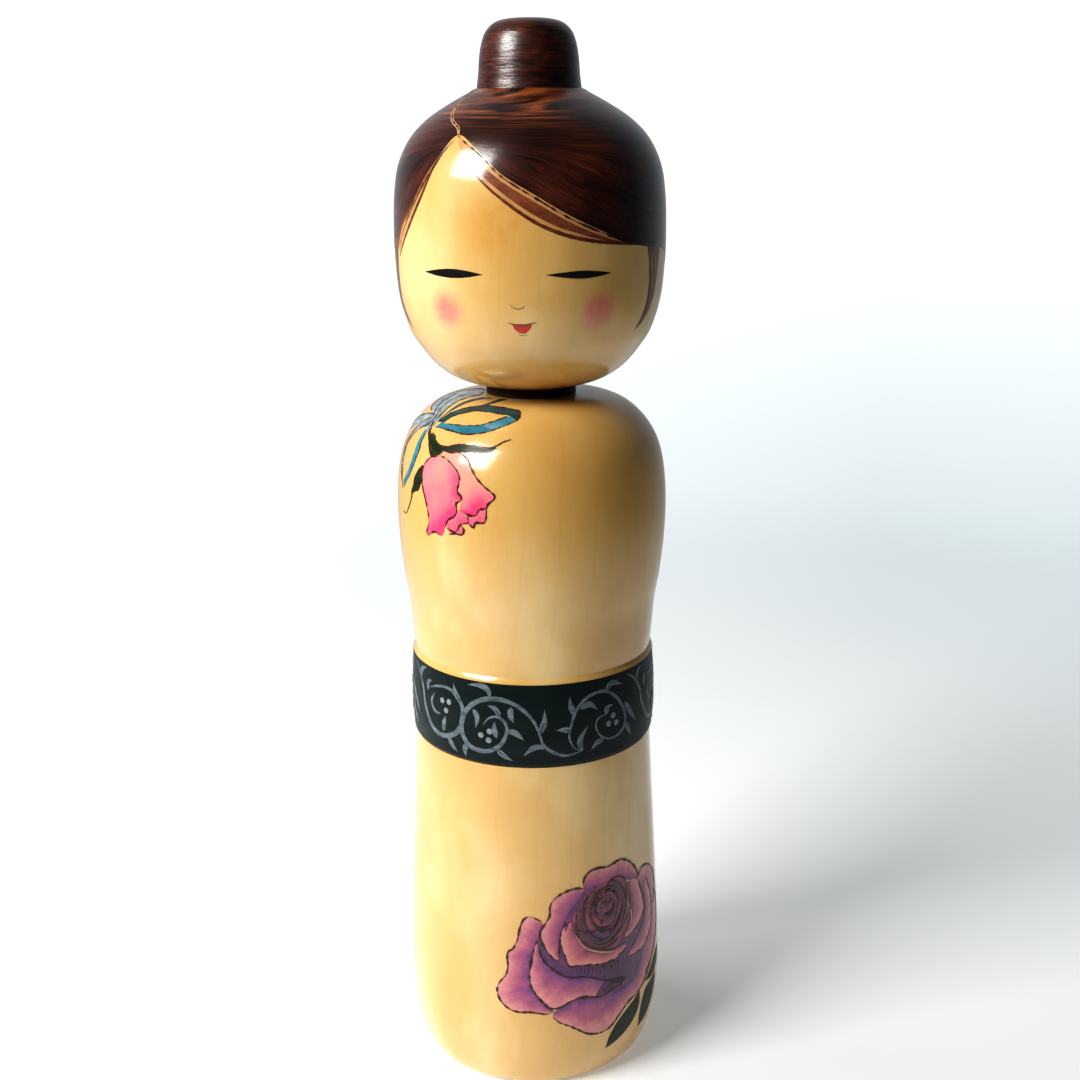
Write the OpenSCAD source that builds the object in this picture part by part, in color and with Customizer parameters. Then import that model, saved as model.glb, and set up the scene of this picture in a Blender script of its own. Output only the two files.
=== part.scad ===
// Wooden kokeshi doll: three lathe-turned pieces held together by two pegs.
// Units are millimetres. +Z is up, the doll stands on z = 0 and faces -Y.

/* [Body] */
// Height of the body, from the table to its flat top
body_h = 201; // [160:1:240]
// Diameter of the standing face
foot_d = 64; // [58:1:66]
// Widest diameter of the skirt
hip_d = 76.4; // [74:0.2:80]
// Diameter of the skirt right under the obi
waist_d = 69; // [66:0.5:70]
// Widest diameter of the shoulders
shoulder_d = 76.2; // [74:0.2:80]
// Diameter of the turned hollow under the foot
dish_d = 48; // [40:1:52]
// Depth of the turned hollow under the foot
dish_depth = 1.2; // [0.6:0.1:2]

/* [Obi] */
// Height of the lower edge of the obi above the table
obi_z = 102; // [90:1:110]
// Height of the obi band
obi_h = 25.2; // [20:0.2:30]
// Diameter of the obi at its fullest
obi_d = 71; // [70.4:0.2:72]

/* [Head] */
// Widest diameter of the head
head_d = 73.8; // [66:0.2:80]
// Height of the head with its neck, from the body to the topknot
head_h = 81; // [70:1:90]
// Diameter of the short neck under the head, which turns on the body
neck_d = 25; // [22:1:28]

/* [Topknot] */
// Diameter of the topknot where it stands on the head
knot_d = 28; // [24:0.5:30]
// Height of the topknot
knot_h = 18; // [16:1:24]

/* [Pegs] */
// Diameter of the neck socket in the body
neck_socket_d = 12; // [10:0.5:14]
// Radial play of the neck peg in its socket, so that the head turns
turning_play = 0.05; // [0.02:0.01:0.1]
// Length of the neck peg inside the body, and again inside the head
neck_peg_reach = 22; // [16:1:26]
// Diameter of the topknot peg
knot_peg_d = 8; // [6:0.5:10]
// Length of the topknot peg inside the head, and again inside the topknot
knot_peg_reach = 9; // [6:1:10]
// Air left beyond each end of a peg, where the glue gathers
glue_gap = 1.5; // [0.5:0.5:3]

/* [Hidden] */

$fn = 96;
curve_steps = 6;            // straight cuts between two gauge points
peg_chamfer = 1;            // bevel on both ends of a peg
obi_round = 1.6;            // rounding of the lower edge of the obi
obi_arc_step = 16;          // degrees between two points of that rounding
ledge_h = 0.9;              // height of the bare bevel above the obi
groove = 0.35;              // depth of the line cut above that bevel
dish_slope = 4;             // width of the sloping rim of the hollow foot
neck_h = 2.7;               // height of the neck that stands out under the chin
seat_rim = 0.5;             // crown left flat round the topknot
overcut = 1;                // how far a drill starts outside the wood

natural = "BurlyWood";
stained = "SaddleBrown";
beech = "Wheat";

neck_z = body_h;
crown_z = neck_z + head_h;
obi_top = obi_z + obi_h;
ledge_top = obi_top + ledge_h;
neck_peg_r = neck_socket_d / 2 - turning_play;
knot_peg_r = knot_peg_d / 2;
waist_r = waist_d / 2;

// Smooth curve through the gauge points of an outline, ends included.
function reflect(end, next) = 2 * end - next;
function bend(a, b, c, d, t) =
    0.5 * (2 * b + (c - a) * t + (2 * a - 5 * b + 4 * c - d) * t * t
        + (3 * b - a - 3 * c + d) * t * t * t);
function curve(g) =
    let (n = len(g),
         p = concat([reflect(g[0], g[1])], g, [reflect(g[n - 1], g[n - 2])]))
    concat([for (i = [1:n - 1], k = [0:curve_steps - 1])
        bend(p[i - 1], p[i], p[i + 1], p[i + 2], k / curve_steps)], [g[n - 1]]);

// Gauge points as [share of the radius, share of the height] between two levels.
function gauge(shares, r, z0, z1) =
    [for (s = shares) [s[0] * r, z0 + s[1] * (z1 - z0)]];

// Skirt, from the rounded foot up to the obi.
skirt_shares = [[0.9, 0.022], [0.955, 0.08], [0.99, 0.16], [1, 0.25],
                [0.99, 0.37], [0.972, 0.52], [0.95, 0.68], [0.926, 0.84]];
skirt = curve(concat([[foot_d / 2, 0]],
                     gauge(skirt_shares, hip_d / 2, 0, obi_z),
                     [[waist_r, obi_z]]));

// Torso, from the bare bevel above the obi over the shoulders to the flat top.
torso_shares = [[0.93, 0.19], [0.962, 0.29], [0.986, 0.4], [0.999, 0.51],
                [0.999, 0.615], [0.983, 0.715], [0.95, 0.795], [0.895, 0.86],
                [0.807, 0.92], [0.69, 0.967], [0.54, 0.993]];
torso = curve(concat([[waist_r - groove, ledge_top], [1.003 * waist_r, ledge_top + 4]],
                     gauge(torso_shares, shoulder_d / 2, ledge_top, neck_z),
                     [[neck_d / 2, neck_z]]));

// The obi stands proud: it is rounded below, slightly barrelled, and eased above.
obi_r = obi_d / 2;
obi_arc_r = 0.989 * obi_r;
obi_shares = [[1, 0.3], [0.997, 0.6], [0.983, 0.98], [0.978, 1]];
obi_arc = [for (a = [-80:obi_arc_step:0])
    [obi_arc_r - obi_round * (1 - cos(a)), obi_z + obi_round * (1 + sin(a))]];
obi = concat(obi_arc, gauge(obi_shares, obi_r, obi_z, obi_top));

// Head, from the short neck over chin and crown to the flat seat of the topknot.
head_shares = [[0.434, 0.041], [0.542, 0.057], [0.637, 0.08], [0.732, 0.116],
               [0.827, 0.17], [0.905, 0.23], [0.97, 0.333], [0.995, 0.457],
               [0.998, 0.568], [0.989, 0.667], [0.957, 0.759], [0.875, 0.84],
               [0.753, 0.901], [0.591, 0.951]];
skull = curve(concat([[neck_d / 2, neck_z + neck_h]],
                     gauge(head_shares, head_d / 2, neck_z, crown_z),
                     [[knot_d / 2 + seat_rim, crown_z]]));

// Topknot: nearly straight sides, rounded over to a low dome.
knot_top = crown_z + knot_h;
knot_shares = [[0.965, 0.22], [0.943, 0.44], [0.9, 0.64], [0.814, 0.81],
               [0.65, 0.93], [0.4, 0.985]];
knot = curve(concat([[knot_d / 2, crown_z]],
                    gauge(knot_shares, knot_d / 2, crown_z, knot_top),
                    [[0, knot_top]]));

// Round wooden peg with bevelled ends, standing on z.
module peg(r, length, z) {
    translate([0, 0, z]) {
        cylinder(r1 = r - peg_chamfer, r2 = r, h = peg_chamfer);
        translate([0, 0, peg_chamfer]) cylinder(r = r, h = length - 2 * peg_chamfer);
        translate([0, 0, length - peg_chamfer])
            cylinder(r1 = r, r2 = r - peg_chamfer, h = peg_chamfer);
    }
}

// Blind hole for a peg, drilled down (or up) from the seat at z.
module drilled_down(r, depth, z) {
    translate([0, 0, z - depth]) cylinder(r = r, h = depth + overcut);
}
module drilled_up(r, depth, z) {
    translate([0, 0, z - overcut]) cylinder(r = r, h = depth + overcut);
}

module body() {
    foot = [[0, dish_depth], [dish_d / 2 - dish_slope, dish_depth], [dish_d / 2, 0]];
    color(natural) difference() {
        rotate_extrude()
            polygon(concat(foot, skirt, obi, torso, [[0, neck_z]]));
        drilled_down(neck_socket_d / 2, neck_peg_reach + glue_gap, neck_z);
    }
}

module head() {
    color(natural) difference() {
        rotate_extrude()
            polygon(concat([[0, neck_z], [neck_d / 2, neck_z]], skull, [[0, crown_z]]));
        drilled_up(neck_peg_r, neck_peg_reach + glue_gap, neck_z);
        drilled_down(knot_peg_r, knot_peg_reach + glue_gap, crown_z);
    }
}

module topknot() {
    color(stained) difference() {
        rotate_extrude() polygon(concat([[0, crown_z]], knot));
        drilled_up(knot_peg_r, knot_peg_reach + glue_gap, crown_z);
    }
}

module neck_peg() {
    color(beech) peg(neck_peg_r, 2 * neck_peg_reach, neck_z - neck_peg_reach);
}

module topknot_peg() {
    color(beech) peg(knot_peg_r, 2 * knot_peg_reach, crown_z - knot_peg_reach);
}

body();
head();
topknot();
neck_peg();
topknot_peg();
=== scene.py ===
# %% [markdown]
# # A turned and painted kokeshi doll
#
# A kokeshi is three pieces of pale wood from the lathe: a body, a head that turns on a peg, and a
# topknot. Nearly everything that gives it character lies on the surface: stain, brush paint, lines
# burnt with a hot pen, and clear lacquer over all of it. The turned shapes come ready from the packed
# frame, so this lesson is about finishes. Each one is made as the thin film of stain or paint that it
# really is, laid on the curved wood.
#
# The outlines of the bow, bud, scroll and rose below are close tracings of one painter's work, turned
# into millimetres by another program. They show how films are laid, and not how a motif should be
# drawn: for that, draw your own from a few arcs.

import bisect
import math

import bmesh
import bpy
from mathutils import Matrix, Vector, noise


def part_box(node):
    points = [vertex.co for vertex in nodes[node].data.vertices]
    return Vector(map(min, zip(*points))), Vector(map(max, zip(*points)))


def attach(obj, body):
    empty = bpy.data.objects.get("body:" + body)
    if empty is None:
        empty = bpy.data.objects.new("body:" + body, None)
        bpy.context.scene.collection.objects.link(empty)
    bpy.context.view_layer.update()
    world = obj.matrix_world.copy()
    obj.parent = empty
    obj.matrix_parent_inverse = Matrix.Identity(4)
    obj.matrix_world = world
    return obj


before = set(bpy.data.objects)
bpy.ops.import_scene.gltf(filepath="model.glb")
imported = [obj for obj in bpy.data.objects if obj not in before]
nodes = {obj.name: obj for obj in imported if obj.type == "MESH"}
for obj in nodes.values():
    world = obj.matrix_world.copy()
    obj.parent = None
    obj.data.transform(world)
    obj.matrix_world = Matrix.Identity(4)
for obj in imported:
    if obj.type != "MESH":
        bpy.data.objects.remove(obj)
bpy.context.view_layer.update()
scene = bpy.context.scene
MM = 0.001
print("turned pieces:", sorted(nodes))

# %% [markdown]
# ## Smooth shading for the turned pieces
#
# The turned pieces arrive as loose triangles whose shading breaks at every ring. Lacquer shows that at
# once in its highlights. Their mesh must stay as it is, so a small geometry node modifier does the
# work live: it merges the triangles and shades smoothly across every edge but the real ones. The same
# modifier later serves the paint films, which have sharp rims.

# %% Shade smoothly between real edges
CREASE = math.radians(24)


def fine_shading():
    tree = bpy.data.node_groups.new("fine_shading", "GeometryNodeTree")
    for way in ("INPUT", "OUTPUT"):
        tree.interface.new_socket("Geometry", in_out=way, socket_type="NodeSocketGeometry")
    new, link = tree.nodes.new, tree.links.new
    start, end = new("NodeGroupInput"), new("NodeGroupOutput")
    merge = new("GeometryNodeMergeByDistance")
    merge.inputs["Distance"].default_value = 0.002 * MM
    plain = new("GeometryNodeRemoveAttribute")
    plain.inputs["Name"].default_value = "custom_normal"
    angle = new("GeometryNodeInputMeshEdgeAngle")
    gentle = new("FunctionNodeCompare")
    gentle.data_type = "FLOAT"
    gentle.operation = "LESS_THAN"
    gentle.inputs["B"].default_value = CREASE
    faces, edges = new("GeometryNodeSetShadeSmooth"), new("GeometryNodeSetShadeSmooth")
    edges.domain = "EDGE"
    link(start.outputs[0], merge.inputs["Geometry"])
    link(merge.outputs[0], plain.inputs["Geometry"])
    link(plain.outputs[0], faces.inputs["Geometry"])
    link(faces.outputs[0], edges.inputs["Geometry"])
    link(angle.outputs["Unsigned Angle"], gentle.inputs["A"])
    link(gentle.outputs["Result"], edges.inputs["Shade Smooth"])
    link(edges.outputs[0], end.inputs[0])
    return tree


shading = fine_shading()
for node in nodes.values():
    node.modifiers.new("fine_shading", "NODES").node_group = shading

# %% [markdown]
# ## The turned walls as drawing paper
#
# The painter works round the doll, so every motif is drawn on a sheet of paper that is wrapped round a
# turned wall. Across is in millimetres at the wall's widest girth, with 0 at the front and plus towards
# +X. Up is in millimetres along the wall from its lowest point, so that shoulders and crown aren't
# squashed. The outline of each wall is read from the turned piece itself.

# %% A wall to draw on


class Wall:
    """The outside of a turned piece between two heights, in mm."""

    def __init__(self, node, body, low, high, least):
        self.body = body
        girth = {}
        for v in nodes[node].data.vertices:
            r, z = math.hypot(v.co.x, v.co.y) / MM, round(v.co.z / MM, 3)
            if low <= z <= high and r > least:
                girth[z] = max(girth.get(z, 0), r)
        self.outline = [(girth[z], z) for z in sorted(girth)]
        self.along = [0.0]
        for (r0, z0), (r1, z1) in zip(self.outline, self.outline[1:]):
            self.along.append(self.along[-1] + math.hypot(r1 - r0, z1 - z0))
        self.length = self.along[-1]
        self.widest = max(r for r, z in self.outline)
        self.girth = 2 * math.pi * self.widest

    def fold_in(self, radius):
        """Carries the wall's top edge inwards, flat, to a radius."""
        rim, z = self.outline[-1]
        self.outline.append((radius, z))
        self.along.append(self.length + rim - radius)
        self.length = self.along[-1]

    def ring(self, up):
        """Radius and height at a distance up the wall."""
        i = min(max(bisect.bisect(self.along, up), 1), len(self.along) - 1)
        t = (up - self.along[i - 1]) / (self.along[i] - self.along[i - 1])
        (r0, z0), (r1, z1) = self.outline[i - 1:i + 1]
        return r0 + t * (r1 - r0), z0 + t * (z1 - z0)

    def put(self, across, up, lift=0.0):
        """Where a point of the paper lies on the doll, in metres, lift mm above the wood."""
        reach = 0.6  # the slope is taken over this far to each side, in mm
        r0, z0 = self.ring(max(up - reach, 0))
        r1, z1 = self.ring(min(up + reach, self.length))
        steep = math.hypot(r1 - r0, z1 - z0)
        r, z = self.ring(up)
        r += lift * (z1 - z0) / steep
        z -= lift * (r1 - r0) / steep
        turn = across / self.widest
        return Vector((r * math.sin(turn), -r * math.cos(turn), z)) * MM


OBI_LOW, OBI_HIGH, LEDGE = 102.0, 127.2, 128.1
NECK_H = 2.7
SLACK = 0.05  # reach past both ends of the neck, so that its end rings are found
KNOT_BASE = 13.9  # the crown's film is carried in under the rim of the topknot
foot_z, neck_z = (corner.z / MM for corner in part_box("body"))
crown_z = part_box("topknot")[0].z / MM
skirt = Wall("body", "trunk", foot_z, OBI_LOW, 30)
obi = Wall("body", "trunk", OBI_LOW + 0.01, OBI_HIGH, 30)
torso = Wall("body", "trunk", LEDGE, neck_z, 12)
skull = Wall("head", "head_group", neck_z + NECK_H, crown_z, 12)
skull.fold_in(KNOT_BASE)
neck = Wall("head", "head_group", neck_z - SLACK, neck_z + NECK_H + SLACK, 12)
for name, wall in (("skirt", skirt), ("obi", obi), ("torso", torso), ("head", skull), ("neck", neck)):
    print(f"{name}: {wall.length:.1f} mm up, {wall.girth:.1f} mm round")

# %% [markdown]
# ## How a stroke or a film of paint is made
#
# A decal picture would be the quick way to decorate, but it blurs up close and says nothing about the
# paint. Here every stroke is a sheet of its own: a flat grid is made with one operator, and its points
# are then carried along the stroke and onto the wall. Each point keeps how far along and across the
# stroke it lies, and its depth from 0 to 1, so that a material can run its brush marks along the stroke
# and shade it from base to rim.

# %% Smooth lines through points of the paper
STEP = 0.7


def flowing(points, step=STEP):
    """A smooth line through points of the paper."""
    pts = [Vector(p) for p in points]
    pts = [2 * pts[0] - pts[1], *pts, 2 * pts[-1] - pts[-2]]
    line = []
    for a, b, c, d in zip(pts, pts[1:], pts[2:], pts[3:]):
        count = max(2, round((c - b).length / step))
        for t in (k / count for k in range(count)):
            line.append(0.5 * (2 * b + (c - a) * t + (2 * a - 5 * b + 4 * c - d) * t ** 2
                               + (3 * b - a - 3 * c + d) * t ** 3))
    return line + [pts[-2]]


def even(line, count):
    """count + 1 points, evenly spaced along a line."""
    far = [0.0]
    for a, b in zip(line, line[1:]):
        far.append(far[-1] + (b - a).length)
    spots = []
    for k in range(count + 1):
        want = far[-1] * k / count
        i = min(max(bisect.bisect(far, want), 1), len(far) - 1)
        gap = far[i] - far[i - 1]
        spots.append(line[i - 1].lerp(line[i], (want - far[i - 1]) / gap if gap else 0))
    return spots


def length_of(line):
    return sum((b - a).length for a, b in zip(line, line[1:]))


# %% Strokes and fills
def paint():
    """A new set of strokes that will become one piece."""
    bm = bmesh.new()
    bm.verts.layers.float_vector.new("flow")
    return bm


def grid(bm, columns, rows):
    """A new flat grid, as (point, share along, share across)."""
    made = bmesh.ops.create_grid(bm, x_segments=columns, y_segments=rows, size=0.5)
    return [(v, v.co.x + 0.5, v.co.y + 0.5) for v in made["verts"]]


def soft(value, low, high):
    """0 below low, 1 above high, and smooth between."""
    t = min(max((value - low) / (high - low), 0), 1)
    return t * t * (3 - 2 * t)


def pen(u, ease=0.06):
    """An even line whose ends are rounded off."""
    return min(1.0, 0.35 + 0.65 * min(u, 1 - u) / ease)


def leaf(u):
    """Full near its base, with a long thin tip."""
    return 2.6 * u ** 0.7 * (1 - u) ** 1.25


def sweep(u):
    """A brush stroke that is pressed in the middle."""
    return 0.25 + 0.75 * math.sin(math.pi * u) ** 0.8


def stroke(bm, wall, points, width, lift, shape=pen, crown=0.02, waver=0.12, step=STEP):
    """A stroke of the pen or brush along points, width mm wide."""
    flow = bm.verts.layers.float_vector["flow"]
    line = flowing(points, step)
    count = len(line) - 1
    total = length_of(line)
    for v, u, s in grid(bm, count, 2):
        i = round(u * count)
        at, ahead = line[i], line[min(i + 1, count)] - line[max(i - 1, 0)]
        stretch = wall.ring(at.y)[0] / wall.widest
        way = Vector((ahead.x * stretch, ahead.y)).normalized()
        hand = noise.noise(Vector((at.x, at.y, width)) * 0.9)
        w = width * shape(u) * (1 + waver * 2 * hand)
        x = at.x - way.y * w * (s - 0.5) / stretch
        y = at.y + way.x * w * (s - 0.5)
        v.co = wall.put(x, min(max(y, 0), wall.length), lift + crown * (1 - abs(2 * s - 1)))
        v[flow] = (u * total, (s - 0.5) * w, u)


def fill(bm, wall, first, second, lift, step=1.2, shade=lambda u, s: s):
    """A film of paint between two lines that run the same way; shade gives its depth."""
    flow = bm.verts.layers.float_vector["flow"]
    first, second = flowing(first), flowing(second)
    total = max(length_of(first), length_of(second))
    wide = max((a - b).length for a, b in zip(even(first, 8), even(second, 8)))
    columns, rows = (max(2, math.ceil(span / step)) for span in (total, wide))
    low, high = even(first, columns), even(second, columns)
    for v, u, s in grid(bm, columns, rows):
        i = round(u * columns)
        at = low[i].lerp(high[i], s)
        v.co = wall.put(at.x, min(max(at.y, 0), wall.length), lift)
        v[flow] = (u * total, s * wide, shade(u, s))


def dot(bm, wall, across, up, radius, lift, dome=0.12):
    """A round touch of the brush."""
    flow = bm.verts.layers.float_vector["flow"]
    made = bmesh.ops.create_circle(bm, cap_ends=True, cap_tris=True, segments=14, radius=1)
    for v in made["verts"]:
        far = v.co.to_2d().length
        x, y = across + v.co.x * radius, up + v.co.y * radius
        v[flow] = (v.co.x * radius, v.co.y * radius, far)
        v.co = wall.put(x, y, lift + dome * (1 - far ** 2))


# %% From strokes to a finished piece
FILM = 0.07  # thickness in mm
WELD = 0.004  # points nearer than this, in mm, are one
CHIN_TO_TEMPLE = 40  # above this height on the head, its wall faces upwards


def dry(bm, name, wall, finish, thick=FILM):
    """Turns the strokes into one closed film of paint that rides on the wall's body."""
    bmesh.ops.remove_doubles(bm, verts=bm.verts, dist=WELD * MM)
    bm.normal_update()
    inward = []
    for f in bm.faces:
        middle = f.calc_center_median()
        out = Vector((middle.x, middle.y, 0)).normalized()
        if wall in (torso, skull):
            upper = wall is torso or middle.z / MM > wall.outline[0][1] + CHIN_TO_TEMPLE
            out.z = 0.6 if upper else -0.3
        if f.normal.dot(out) < 0:
            inward.append(f)
    bmesh.ops.reverse_faces(bm, faces=inward)
    mesh = bpy.data.meshes.new(name)
    bm.to_mesh(mesh)
    bm.free()
    mesh.materials.append(finish)
    piece = bpy.data.objects.new(name, mesh)
    scene.collection.objects.link(piece)
    body = piece.modifiers.new("film", "SOLIDIFY")
    body.thickness = thick * MM
    body.offset = -1
    piece.modifiers.new("fine_shading", "NODES").node_group = shading
    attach(piece, wall.body)
    print(f"{name}: {len(mesh.polygons)} faces")

# %% [markdown]
# ## Finishes
#
# Everything on the doll lies under one clear lacquer, so all finishes share the same coat: a
# Principled shader with a strong coat layer over a duller base. What differs is the colour under the
# coat. The helpers below keep each finish to a few readable lines.

# %% Helpers for finishes
COAT, COAT_ROUGH, COAT_IOR = 0.95, 0.15, 1.65


def lacquered(name, rough=0.45, coat=COAT, coat_rough=COAT_ROUGH):
    """A new material under clear lacquer, with its node tree and shader."""
    finish = bpy.data.materials.new(name)
    finish.use_nodes = True
    shader = finish.node_tree.nodes["Principled BSDF"]
    shader.inputs["Roughness"].default_value = rough
    shader.inputs["Specular IOR Level"].default_value = 0.2
    shader.inputs["Coat Weight"].default_value = coat
    shader.inputs["Coat Roughness"].default_value = coat_rough
    shader.inputs["Coat IOR"].default_value = COAT_IOR
    return finish, finish.node_tree, shader


def place(tree, scale=(1, 1, 1), move=(0, 0, 0), turn=(0, 0, 0), source=None):
    """Object coordinates, or another source, stretched, turned and moved."""
    if source is None:
        source = tree.nodes.new("ShaderNodeTexCoord").outputs["Object"]
    mapping = tree.nodes.new("ShaderNodeMapping")
    mapping.inputs["Scale"].default_value = scale
    mapping.inputs["Location"].default_value = move
    mapping.inputs["Rotation"].default_value = turn
    tree.links.new(source, mapping.inputs["Vector"])
    return mapping.outputs["Vector"]


def carried(tree, name):
    """An attribute that the piece's points carry."""
    attribute = tree.nodes.new("ShaderNodeAttribute")
    attribute.attribute_name = name
    return attribute.outputs


def flow_of(tree, scale=(1, 1, 1)):
    """The stroke's own along, across and depth, scaled."""
    return place(tree, scale, source=carried(tree, "flow")["Vector"])


def grain(tree, vector, scale, detail=3.0, rough=0.5, twist=0.0):
    """Noise, from 0 to 1."""
    tex = tree.nodes.new("ShaderNodeTexNoise")
    tex.inputs["Scale"].default_value = scale
    tex.inputs["Detail"].default_value = detail
    tex.inputs["Roughness"].default_value = rough
    tex.inputs["Distortion"].default_value = twist
    tree.links.new(vector, tex.inputs["Vector"])
    return tex.outputs["Fac"]


def ramp(tree, value, *stops):
    """Colours or shares at stops from 0 to 1."""
    node = tree.nodes.new("ShaderNodeValToRGB")
    band = node.color_ramp.elements
    while len(band) < len(stops):
        band.new(0.5)
    for spot, (at, colour) in zip(band, stops):
        spot.position = at
        spot.color = (*colour, 1) if hasattr(colour, "__len__") else (colour, colour, colour, 1)
    tree.links.new(value, node.inputs["Fac"])
    return node.outputs["Color"]


def blend(tree, share, first, second, kind="MIX"):
    """Mixes two colours; share is a socket or a number."""
    mix = tree.nodes.new("ShaderNodeMix")
    mix.data_type = "RGBA"
    mix.blend_type = kind
    for socket, value in zip((mix.inputs[0], mix.inputs[6], mix.inputs[7]), (share, first, second)):
        if isinstance(value, bpy.types.NodeSocket):
            tree.links.new(value, socket)
        else:
            socket.default_value = (*value, 1) if hasattr(value, "__len__") else value
    return mix.outputs[2]


def rise(tree, shader, height, distance):
    """Bump of a given height in mm."""
    bump = tree.nodes.new("ShaderNodeBump")
    bump.inputs["Strength"].default_value = 1.0
    bump.inputs["Distance"].default_value = distance * MM
    tree.links.new(height, bump.inputs["Height"])
    for socket in ("Normal", "Coat Normal"):
        tree.links.new(bump.outputs["Normal"], shader.inputs[socket])


def separate(tree, vector):
    node = tree.nodes.new("ShaderNodeSeparateXYZ")
    tree.links.new(vector, node.inputs[0])
    return node.outputs


# %% [markdown]
# ## The pale wood
#
# Kokeshi wood is cut from a round log, off its centre, and turned with the grain upright. Growth rings
# are therefore nearly upright sheets, and they show as faint arcs only where the turning curves away.
# A ring texture round an axis beside the doll gives exactly those arcs, because it cuts the solid the
# way the tool does. Stretched noise adds fibres and pores, and large soft noise the clouds of deeper
# honey colour that oil and age leave.

# %% Wood
WOOD_LIGHT, WOOD_MID, WOOD_DEEP = (0.82, 0.59, 0.26), (0.73, 0.45, 0.14), (0.68, 0.38, 0.1)


def wood_colour(tree, pith=(0.045, 0.06, 0)):
    """Colour of the bare wood, and its fibres."""
    log = place(tree, move=pith, turn=(math.radians(4), math.radians(-3), 0))
    ring = tree.nodes.new("ShaderNodeTexWave")
    ring.wave_type, ring.rings_direction, ring.wave_profile = "RINGS", "Z", "SAW"
    for socket, value in (("Scale", 32), ("Distortion", 2.4), ("Detail", 3), ("Detail Scale", 0.7)):
        ring.inputs[socket].default_value = value
    tree.links.new(log, ring.inputs["Vector"])
    cloud = grain(tree, place(tree, (1, 1, 0.6)), 30, 3, 0.5, 0.15)
    honey = ramp(tree, cloud, (0.34, WOOD_LIGHT), (0.5, WOOD_MID), (0.69, WOOD_DEEP))
    late = ramp(tree, ring.outputs["Fac"], (0.0, 0.0), (0.86, 0.12), (0.97, 1.0), (1.0, 0.0))
    ringed = blend(tree, blend(tree, 0.07, (0, 0, 0), late), honey, (0.42, 0.2, 0.06))
    fibre = grain(tree, place(tree, (1, 1, 0.06)), 2600, 3, 0.6)
    flecks = ramp(tree, fibre, (0.3, 0.965), (0.5, 1.0), (0.75, 1.015))
    return blend(tree, 1.0, ringed, flecks, "MULTIPLY"), fibre


def turned_wood(name):
    finish, tree, shader = lacquered(name, 0.42)
    colour, fibre = wood_colour(tree)
    return finish, tree, shader, colour, fibre


def finish_wood(tree, shader, colour, fibre):
    tree.links.new(colour, shader.inputs["Base Color"])
    tree.links.new(ramp(tree, fibre, (0.3, 0.47), (0.7, 0.4)), shader.inputs["Roughness"])
    rise(tree, shader, fibre, 0.012)


body_wood, tree, shader, colour, fibre = turned_wood("body_wood")
finish_wood(tree, shader, colour, fibre)
nodes["body"].data.materials[0] = body_wood

# %% Tints on the head, with painted light on its lit side and painted shade under the chin
BLUSH = (0.76, 0.11, 0.17)
# across, up, radius in mm, colour, and the least and most share of it
# The first patch is painted light: a paler side of the face where the window light falls.
TINTS_AND_PAINTED_LIGHT = ((-30, 42, 26, (0.86, 0.7, 0.36), (0.5, 0.75)),
         (-5, 57, 15, (0.68, 0.3, 0.045), (0.35, 0.7)),
         # painted shade: darker brown under the chin, where the head is in shadow
         (4, 4, 25, (0.42, 0.18, 0.035), (0.5, 0.8)),
         (-20.4, 35, 7.5, BLUSH, (0.5, 0.78)),
         (22, 35, 7.5, BLUSH, (0.5, 0.78)))
head_wood_and_painted_light, tree, shader, colour, fibre = turned_wood("head_wood_and_painted_light")
spot = tree.nodes.new("ShaderNodeTexCoord").outputs["Object"]
for across, up, radius, tint_and_painted_light, (least, most) in TINTS_AND_PAINTED_LIGHT:
    far = tree.nodes.new("ShaderNodeVectorMath")
    far.operation = "DISTANCE"
    far.inputs[1].default_value = skull.put(across, up)
    tree.links.new(spot, far.inputs[0])
    fade = tree.nodes.new("ShaderNodeMapRange")
    fade.interpolation_type = "SMOOTHERSTEP"
    fade.inputs["From Min"].default_value = radius * MM
    fade.inputs["From Max"].default_value = 0.05 * radius * MM
    tree.links.new(far.outputs["Value"], fade.inputs["Value"])
    dabs = ramp(tree, grain(tree, spot, 6800 / radius, 2), (0.25, least), (0.7, most))
    share = blend(tree, 1.0, fade.outputs["Result"], dabs, "MULTIPLY")
    colour = blend(tree, share, colour, tint_and_painted_light)
finish_wood(tree, shader, colour, fibre)
nodes["head"].data.materials[0] = head_wood_and_painted_light

# %% Bare pegs inside
peg_wood, tree, shader = lacquered("peg_wood", 0.6, 0.0)
colour, fibre = wood_colour(tree, (0.02, 0.012, 0))
finish_wood(tree, shader, colour, fibre)
for name in ("neck_peg", "topknot_peg"):
    nodes[name].data.materials[0] = peg_wood

# %% [markdown]
# ## Dark stain
#
# The hair is a spirit stain, brushed on along the hair. Where the brush ran dry the wood glows
# through orange, and where strokes overlap it is nearly black. Low on the left, where the window
# light falls, it is painted warmer as well: painted light.

# %% Stain
STAIN_DARK, STAIN_MID = (0.012, 0.004, 0.003), (0.082, 0.018, 0.01)
STAIN_RED, STAIN_WARM = (0.2, 0.042, 0.016), (0.34, 0.09, 0.022)


def stain_colour(tree, brush, fine, thin_and_lit=None):
    """Brushed stain from two noises; warm where it is thin, and warm as painted light where it is lit."""
    mixed = blend(tree, 0.45, brush, fine)
    base = ramp(tree, mixed, (0.38, STAIN_DARK), (0.53, STAIN_MID), (0.68, STAIN_RED))
    pools = grain(tree, place(tree), 28, 2, 0.5, 0.6)
    base = blend(tree, 1.0, base, ramp(tree, pools, (0.36, 0.22), (0.6, 1.0)), "MULTIPLY")
    if thin_and_lit is None:
        return base
    runs = grain(tree, flow_of(tree, (0.03, 0.03, 0.21)), 1.0, 2, 0.5, 0.5)
    streak = blend(tree, 1.0, ramp(tree, runs, (0.46, 0.0), (0.66, 1.0)), fine, "OVERLAY")
    return blend(tree, blend(tree, 1.0, streak, thin_and_lit, "MULTIPLY"), base, STAIN_WARM)


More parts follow.
